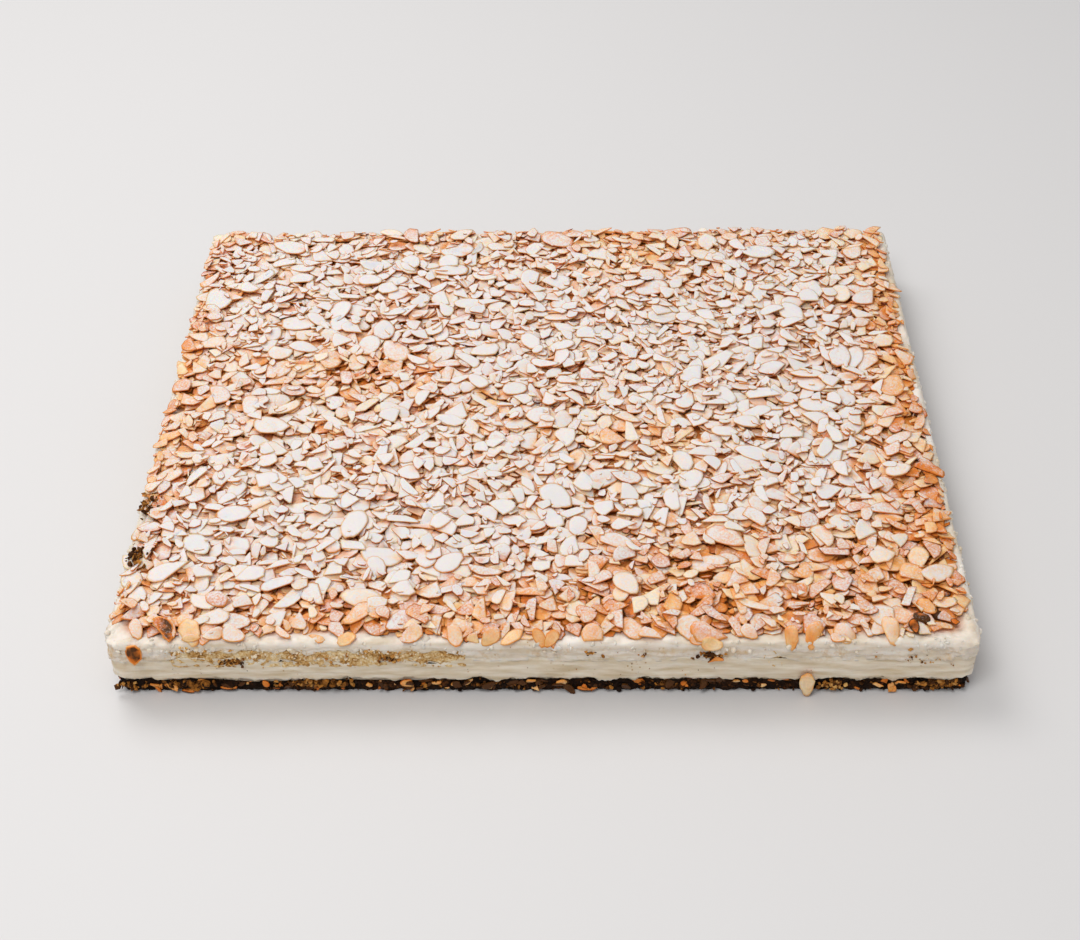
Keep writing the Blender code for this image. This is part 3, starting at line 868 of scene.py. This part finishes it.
def toasted_almond():
    """Toasted almond under icing sugar: waxy pale nut, browner where it was cut, and dull white powder
    that lies where the slice faces up and shows the nut between its grains. Deep in the heap the nut is
    painted browner, which is painted shade."""
    material, tree, surface = new_material(
        "toasted_almond_with_icing_sugar", Specular_IOR_Level=0.18, Subsurface_Weight=0.35,
        Subsurface_Radius=(1.0, 0.5, 0.2), Subsurface_Scale=0.0020)
    place = add(tree, "TexCoord").outputs["Object"]
    toast, rim, sugar, buried = [add(tree, "Attribute", attribute_name=name).outputs["Fac"]
                                 for name in ("toast", "rim", "sugar", "buried")]
    flat = add(tree, "UVMap", uv_map="slice")
    mottle = add(tree, "TexNoise", {"Vector": place, "Scale": per(5), "Detail": 3.0})
    lengthwise = add(tree, "Mapping", {"Vector": flat, "Scale": (1.0, 6.0, 1.0)})
    fibres = add(tree, "TexNoise", {"Vector": lengthwise, "Scale": 2.2, "Detail": 3.0})
    browned = add(tree, "Math", {0: mottle, 1: 0.5, 2: toast}, operation="MULTIPLY_ADD")
    cut_brown = add(tree, "Math", {0: rim, 1: 0.16, 2: browned}, operation="MULTIPLY_ADD")
    # Flakes deep in the heap are painted browner here: painted shade under the flakes above.
    toast_and_painted_shade = add(tree, "Math", {0: buried, 1: 0.08, 2: cut_brown}, operation="MULTIPLY_ADD")
    ramp = add(tree, "ValToRGB", {"Fac": toast_and_painted_shade}, ALMOND_TONES)
    rings = add(tree, "TexWave", {
        "Vector": flat, "Scale": 1.0, "Distortion": 8.0, "Detail": 2.0, "Detail Scale": 1.4},
        wave_type="RINGS", rings_direction="SPHERICAL").outputs["Fac"]
    marks = add(tree, "Math", {0: rings, 1: 0.3, 2: fibres}, operation="MULTIPLY_ADD")
    lined = add(tree, "MapRange", {
        "Value": marks, "From Min": 0.35, "From Max": 0.95, "To Min": 0.90, "To Max": 1.03})
    nut = add(tree, "VectorMath", {0: ramp, 1: lined}, operation="MULTIPLY")
    facing = add(tree, "SeparateXYZ", {0: add(tree, "NewGeometry").outputs["Normal"]}).outputs["Z"]
    level = add(tree, "MapRange", {"Value": facing, "From Min": 0.55, "From Max": 0.93})
    drift = add(tree, "TexNoise", {"Vector": place, "Scale": per(13), "Detail": 4.0})
    grains = add(tree, "TexNoise", {"Vector": place, "Scale": per(0.9), "Detail": 5.0, "Roughness": 0.7})
    thick = add(tree, "Math", {0: drift, 1: 0.9, 2: sugar}, operation="MULTIPLY_ADD")
    crackle = add(tree, "TexNoise", {"Vector": place, "Scale": per(2.0), "Detail": 2.0, "Distortion": 1.2})
    fold = add(tree, "Math", {0: crackle, 1: 0.5}, operation="SUBTRACT")
    crease = add(tree, "Math", {0: fold}, operation="ABSOLUTE")
    line = add(tree, "MapRange", {"Value": crease, "From Max": 0.045, "To Min": -0.24, "To Max": 0.0})
    lightly = add(tree, "Math", {0: thick, 1: line}, operation="ADD")
    ringed = add(tree, "Math", {0: rings, 1: -0.20, 2: lightly}, operation="MULTIPLY_ADD")
    speckled = add(tree, "Math", {0: grains, 1: 1.9, 2: ringed}, operation="MULTIPLY_ADD")
    cut_side = add(tree, "MapRange", {"Value": rim, "From Min": 0.5, "To Max": -0.45})
    worn = add(tree, "Math", {0: speckled, 1: cut_side}, operation="ADD")
    sheltered = add(tree, "Math", {0: buried, 1: -0.50, 2: worn}, operation="MULTIPLY_ADD")
    powder = add(tree, "MapRange", {"Value": sheltered, "From Min": 1.42, "From Max": 2.20})
    reached = add(tree, "Math", {0: buried, 1: -0.60, 2: 1.0}, operation="MULTIPLY_ADD")
    caught = add(tree, "Math", {0: level, 1: reached}, operation="MULTIPLY")
    cover = add(tree, "Math", {0: powder, 1: caught}, operation="MULTIPLY")
    dusted = add(tree, "Mix", {"Factor": cover, "A": nut, "B": srgb("e4dbd7")}, data_type="RGBA")
    dull = add(tree, "MapRange", {"Value": cover, "To Min": 0.48, "To Max": 0.92})
    relief = add(tree, "Math", {0: grains, 1: fibres}, operation="ADD")
    bump = add(tree, "Bump", {"Height": relief, "Distance": 0.0003, "Strength": 0.45})
    connect(tree, surface, {"Base Color": dusted.outputs["Result"], "Roughness": dull, "Normal": bump})
    return material


def almonds_reach(x, y, keep_in):
    """Whether almonds lie here. They stop short of the right edge, the front crest and its corners."""
    point = Vector((x, y, 0.0))
    ragged = 0.0036 * lumps(point, 20) + 0.0022 * lumps(point, 7)
    front = y + CAKE_DEPTH / 2 - FRONT_BARE - keep_in * 0.5 + ragged
    right = CAKE_WIDTH / 2 - x - RIGHT_BARE - keep_in * 0.5 + ragged * 0.5
    left = x + CAKE_WIDTH / 2 - keep_in * 0.5 + OVERHANG
    back = CAKE_DEPTH / 2 - y - keep_in * 0.5 + OVERHANG
    corner_left = math.hypot(x + CAKE_WIDTH / 2, y + CAKE_DEPTH / 2) - LEFT_CORNER_BARE + ragged * 2
    corner_right = math.hypot(x - CAKE_WIDTH / 2, y + CAKE_DEPTH / 2) - RIGHT_CORNER_BARE + ragged * 2
    return min(front, right, left, back, corner_left, corner_right) > 0


def lowest_of(draw, tries, keep_in):
    """The place, out of a few random ones within the almonds' reach, where the heap is lowest."""
    best = None
    found = 0
    while found < tries:
        x = draw.uniform(-0.5, 0.5) * CAKE_WIDTH
        y = draw.uniform(-0.5, 0.5) * CAKE_DEPTH
        if not almonds_reach(x, y, keep_in):
            continue
        found += 1
        here = heap[np.searchsorted(heights_x, x), np.searchsorted(heights_y, y)]
        if best is None or here < best[0]:
            best = (here, x, y)
    return best[1], best[2]


def strew(draw, batch, count, lengths, breadths, cuts, thicknesses, points, tries, browner=0.0):
    """Drops this many flakes over the reach of the almonds."""
    for _ in range(count):
        length = draw.uniform(*lengths)
        rim = slice_outline(draw, length, length * draw.uniform(*breadths), int(draw.integers(*cuts)), points)
        x, y = lowest_of(draw, tries, np.hypot(rim[:, 0], rim[:, 1]).max())
        thickness = draw.uniform(*thicknesses)
        placed = drop(draw, x, y, rim, thickness)
        if placed is None:
            continue
        toast = patched(x, y, EVEN_TOAST, TOAST_PATCHES) + browner + draw.normal(0, TOAST_UNEVEN)
        toast = float(np.clip(toast, 0.0, DARKEST_TOAST))
        batch.gather(draw, rim, thickness, placed, toast, extra_sugar=draw.normal(0, SUGAR_UNEVEN))


flake_draw = np.random.default_rng(FLAKE_SEED)
almond = toasted_almond()
lower, whole, broken, fragments = FlakeBatch(), FlakeBatch(), FlakeBatch(), FlakeBatch()
strew(flake_draw, lower, 3200, (0.008, 0.0135), (0.50, 0.80), (0, 3), (0.0004, 0.0006), 8, 5, 0.05)
strew(flake_draw, fragments, 2000, (0.003, 0.009), (0.16, 0.70), (0, 3), (0.0005, 0.0009), 7, 3, 0.03)
strew(flake_draw, whole, 800, (0.009, 0.0150), (0.50, 0.74), (0, 2), (0.0004, 0.0007), 13, 4)
strew(flake_draw, broken, 1700, (0.009, 0.0170), (0.38, 0.80), (1, 4), (0.0004, 0.0007), 11, 5)
strew(flake_draw, whole, 240, (0.014, 0.0205), (0.48, 0.70), (0, 3), (0.0005, 0.0007), 15, 2)
strew(flake_draw, broken, 1000, (0.009, 0.0170), (0.38, 0.80), (1, 4), (0.0004, 0.0007), 11, 4)
for x, y, length, breadth in LARGE_SLICES:
    rim = slice_outline(flake_draw, length / 1000, breadth / 1000, int(flake_draw.integers(0, 2)), 18)
    placed = drop(flake_draw, x / 1000, y / 1000, rim, 0.0008, rest=0.97)
    whole.gather(flake_draw, rim, 0.0008, placed, 0.2, curl=0.015, extra_sugar=0.12)
strew(flake_draw, fragments, 900, (0.003, 0.009), (0.16, 0.70), (0, 3), (0.0004, 0.0008), 7, 2)
for batch, name in ((lower, "almond_flakes_lower"), (broken, "almond_flakes_broken"),
                    (whole, "almond_flakes_whole"), (fragments, "almond_fragments")):
    batch.mesh(name)


# Flakes out of their place: those that tip over the crest, hang on the cut side or stick to it, the
# few that caught and burnt, and the chips of nut that stand out of the dark base.

# Each: x, y, z in mm; lean and turn in degrees; length, breadth in mm; toast in the middle and at the
# rim; extra sugar; how strongly it curls.
SINGLE_FLAKES = (
    (-163, -153, 37, 30, 30, 14, 10.5, 0.7, 0.36, -0.5, 0.24),
    (-143, -137, 38, 18, 60, 11, 8, 0.62, 0.36, -0.15, 0.22),
    (-176, -153.5, 36, 26, 20, 10, 6, 0.34, 0.36, 0.1, 0.2),
    (-152, -155.5, 36.2, 38, 20, 14, 9, 0.22, 0.3, -0.35, 0.2),
    (-142, -156.5, 36, 24, -75, 10, 5.5, 0.34, 0.36, 0.05, 0.22),
    (-133, -157, 35.8, 24, 75, 11, 7, 0.3, 0.36, 0.1, 0.16),
    (-112, -156, 36.2, 14, 40, 9, 6, 0.34, 0.4, 0.2, 0.14),
    (-96, -158, 35, 26, 82, 11, 4.4, 0.3, 0.42, -0.1, 0.24),
    (-84, -158.5, 34.8, 34, -62, 9, 5.4, 0.22, 0.34, -0.35, 0.24),
    (-56, -157, 35.6, 22, -50, 11, 7.5, 0.34, 0.46, 0.1, 0.16),
    (-37, -157.5, 35.6, 34, 15, 11, 7, 0.3, 0.4, 0.0, 0.16),
    (-0.5, -158, 34.8, 60, 28, 10, 5.2, 0.34, 0.46, -0.6, 0.18),
    (4.5, -158.4, 34.6, 56, -32, 9.5, 5.4, 0.3, 0.44, -0.6, 0.18),
    (22, -155.5, 36, 30, 10, 11.5, 9.5, 0.36, 0.34, -0.05, 0.18),
    (47, -156, 36, 24, 60, 11.5, 7, 0.32, 0.4, 0.1, 0.18),
    (71, -157, 36.2, 40, 84, 17, 11, 0.48, 0.42, -0.1, 0.2),
    (74, -160.3, 32.8, 58, 80, 10, 6.4, 0.2, 0.28, -0.6, 0.1),
    (90, -156, 36, 34, 50, 8.5, 6, 0.36, 0.42, 0.05, 0.2),
    (108, -158, 34.8, 60, 4, 12.5, 6, 0.36, 0.36, -0.45, 0.12),
    (117, -157, 35.6, 50, -12, 13, 8.5, 0.44, 0.36, -0.3, 0.14),
    (131, -156.5, 35.8, 34, 60, 11, 8, 0.32, 0.36, 0.0, 0.24),
    (151, -155, 36.2, 42, 10, 15, 7, 0.26, 0.3, -0.25, 0.18),
    (113, -132, 38.2, 24, 40, 12.5, 8.5, 0.6, 0.4, -0.2, 0.26),
    (-177, -161.9, 28.5, 74, 6, 10, 7.5, 0.7, 0.3, -0.6, 0.2),
    (116.5, -161.4, 8.2, 92, 4, 15.5, 6.5, 0.12, 0.24, -0.6, 0.05),
    (76.5, -160.8, 23.6, 84, 82, 9.5, 3, 0.46, 0.56, -0.6, 0.24),
    (-60, -158.9, 6.6, 88, 86, 8.5, 4.4, 0.3, 0.46, -0.6, 0.08),
    (165, -149, 37.6, 30, 70, 8, 4.4, 0.72, 0.85, -0.6, 0.5),
    (172, -146, 37, 35, -30, 9, 4, 0.78, 0.9, -0.6, 0.5),
    (161, -153, 36.6, 42, 20, 7, 4.4, 0.7, 0.8, -0.6, 0.5),
    (168, -142, 37.8, 25, 50, 10, 6.5, 0.4, 0.6, -0.3, 0.4),
    (179, -150, 36.2, 38, 60, 5.5, 2.6, 0.6, 0.8, -0.6, 0.5),
    (-4, 1, 38, 12, 60, 4.5, 2.6, 0.7, 0.85, -0.6, 0.1),
    (-157, -157.9, 1.6, 6, 90, 12, 2.6, 0.4, 0.5, -0.6, 0.16),
    (-139, -157.8, 2.8, 8, 87, 8, 2.6, 0.46, 0.55, -0.6, 0.1),
    (20, -157.8, 2.4, 8, 90, 9, 2.6, 0.46, 0.55, -0.6, 0.14),
)
CREST_TRIES = 270
BASE_CHIPS = 420
CHIP_DEPTHS = (-0.0012, 0.0006)
CHIP_HEIGHTS = (0.0022, 0.0082)
CHIP_TOASTS = (0.25, 0.55, 0.75, 0.85, 0.95)
SINGLES_SEED = 404


def leaning(x, y, z, lean, turn, way_out):
    """The middle and axes of a flake that leans down toward the way out, and is turned in its plane."""
    side = Vector((-way_out.y, way_out.x, 0.0))
    down = way_out * math.cos(lean) - Vector((0.0, 0.0, math.sin(lean)))
    normal = down.cross(side)
    along = down * math.cos(turn) + side * math.sin(turn)
    return Vector((x, y, z)), along, normal.cross(along), normal


front_draw = np.random.default_rng(SINGLES_SEED)
singles = FlakeBatch()
for x, y, z, lean, turn, length, breadth, toast, rim_toast, extra, curl in SINGLE_FLAKES:
    cuts = int(front_draw.integers(0, 2))
    rim = slice_outline(front_draw, length / 1000, breadth / 1000, cuts, 18)
    placed = leaning(x / 1000, y / 1000, z / 1000, math.radians(lean), math.radians(turn), Vector((0, -1, 0)))
    singles.gather(front_draw, rim, 0.0009, placed, toast, curl, rim_toast, extra)
for point, way_out in rim_places(front_draw, CREST_TRIES):
    front = way_out.y < 0
    if way_out.x > 0 or abs(point.x) > 0.168 and front or lumps(point, 22) < (0.05 if front else -0.2):
        continue
    length = front_draw.uniform(0.005, 0.012 if front else 0.008)
    breadth = length * front_draw.uniform(0.4, 0.8)
    rim = slice_outline(front_draw, length, breadth, int(front_draw.integers(0, 3)), 12)
    inset = front_draw.uniform(0.0012, 0.0048) if front else front_draw.uniform(0.0025, 0.0050)
    spot = point - way_out * inset
    height = cream_height(spot.x, spot.y) + front_draw.uniform(0.0004, 0.0018)
    placed = leaning(spot.x, spot.y, height, math.radians(front_draw.uniform(8, 58)),
                     front_draw.uniform(0, math.tau), way_out)
    toast = float(np.clip(front_draw.normal(0.28, 0.12), 0.05, 0.6))
    singles.gather(front_draw, rim, 0.0008, placed, toast, 0.10, toast + 0.08, front_draw.uniform(-0.4, 0.1))
singles.mesh("almond_flakes_on_crest")

chips = FlakeBatch()
for point, way_out in rim_places(front_draw, BASE_CHIPS):
    ends = way_out.y < 0 and abs(point.x) > 0.150
    length = front_draw.uniform(0.0025, 0.0075) * (1.25 if ends else 1.0)
    breadth = length * front_draw.uniform(0.3, 0.8)
    rim = slice_outline(front_draw, length, breadth, int(front_draw.integers(0, 3)), 9)
    spot = point - way_out * (BASE_INSET + front_draw.uniform(*CHIP_DEPTHS))
    height = front_draw.uniform(*CHIP_HEIGHTS)
    placed = leaning(spot.x, spot.y, height, math.radians(front_draw.uniform(50, 125)),
                     front_draw.uniform(0, math.tau), way_out)
    toast = front_draw.uniform(0.25, 0.80) if ends else front_draw.choice(CHIP_TOASTS)
    chips.gather(front_draw, rim, 0.0008, placed, float(toast), 0.10, None, -0.60)
chips.mesh("almond_chips_in_base")


# Floor, light and camera: a plain pale floor, a soft lamp above and behind at the left as in a bright
# room, and a camera at the height and distance that the cake was looked at from.
FLOOR_SIZE = 14.0
FLOOR_COLOUR = "d7d4d2"
KEY_LAMP = ("key_lamp", (-0.65, 0.65, 1.35), 0.9, 11.5)
FILL_LAMP = ("fill_lamp", (-0.35, -0.75, 1.55), 0.7, 11.5)
SKY_STRENGTH = 0.53
CAMERA_PLACE = Vector((0.01596, -0.68754, 0.59068))
CAMERA_PITCH = math.radians(40.975)
CAMERA_YAW = math.radians(-1.5805)
CAMERA_ROLL = math.radians(-1.2573)
FOCAL_SHARE = 1772.84 / 1080
SENSOR_WIDTH = 36.0

ground = bmesh.new()
bmesh.ops.create_grid(ground, x_segments=1, y_segments=1, size=FLOOR_SIZE / 2)
floor_mesh = bpy.data.meshes.new("floor")
ground.to_mesh(floor_mesh)
ground.free()
floor = bpy.data.objects.new("floor", floor_mesh)
bpy.context.scene.collection.objects.link(floor)
floor_mesh.materials.append(new_material("pale_floor", Roughness=0.6, Base_Color=srgb(FLOOR_COLOUR))[0])

sky = bpy.data.worlds.new("sky")
sky.use_nodes = True
sky.node_tree.nodes["Background"].inputs["Color"].default_value = srgb("f6f8fb")
sky.node_tree.nodes["Background"].inputs["Strength"].default_value = SKY_STRENGTH
bpy.context.scene.world = sky

for name, place, size, power in (KEY_LAMP, FILL_LAMP):
    lamp_data = bpy.data.lights.new(name, "AREA")
    lamp_data.shape = "SQUARE"
    lamp_data.size = size
    lamp_data.energy = power
    lamp = bpy.data.objects.new(name, lamp_data)
    lamp.location = place
    lamp.rotation_euler = Vector(place).to_track_quat("Z", "Y").to_euler()
    bpy.context.scene.collection.objects.link(lamp)

ahead = Vector((math.sin(CAMERA_YAW) * math.cos(CAMERA_PITCH), math.cos(CAMERA_YAW) * math.cos(CAMERA_PITCH),
                -math.sin(CAMERA_PITCH)))
level_right = Vector((math.cos(CAMERA_YAW), -math.sin(CAMERA_YAW), 0.0))
level_up = level_right.cross(ahead)
right = level_right * math.cos(CAMERA_ROLL) + level_up * math.sin(CAMERA_ROLL)
up = level_up * math.cos(CAMERA_ROLL) - level_right * math.sin(CAMERA_ROLL)
camera_data = bpy.data.cameras.new("camera")
camera_data.sensor_width = SENSOR_WIDTH
camera_data.lens = SENSOR_WIDTH * FOCAL_SHARE
camera = bpy.data.objects.new("camera", camera_data)
camera.matrix_world = Matrix.Translation(CAMERA_PLACE) @ Matrix((right, up, -ahead)).transposed().to_4x4()
bpy.context.scene.collection.objects.link(camera)
bpy.context.scene.camera = camera
bpy.context.scene.view_settings.view_transform = "Standard"
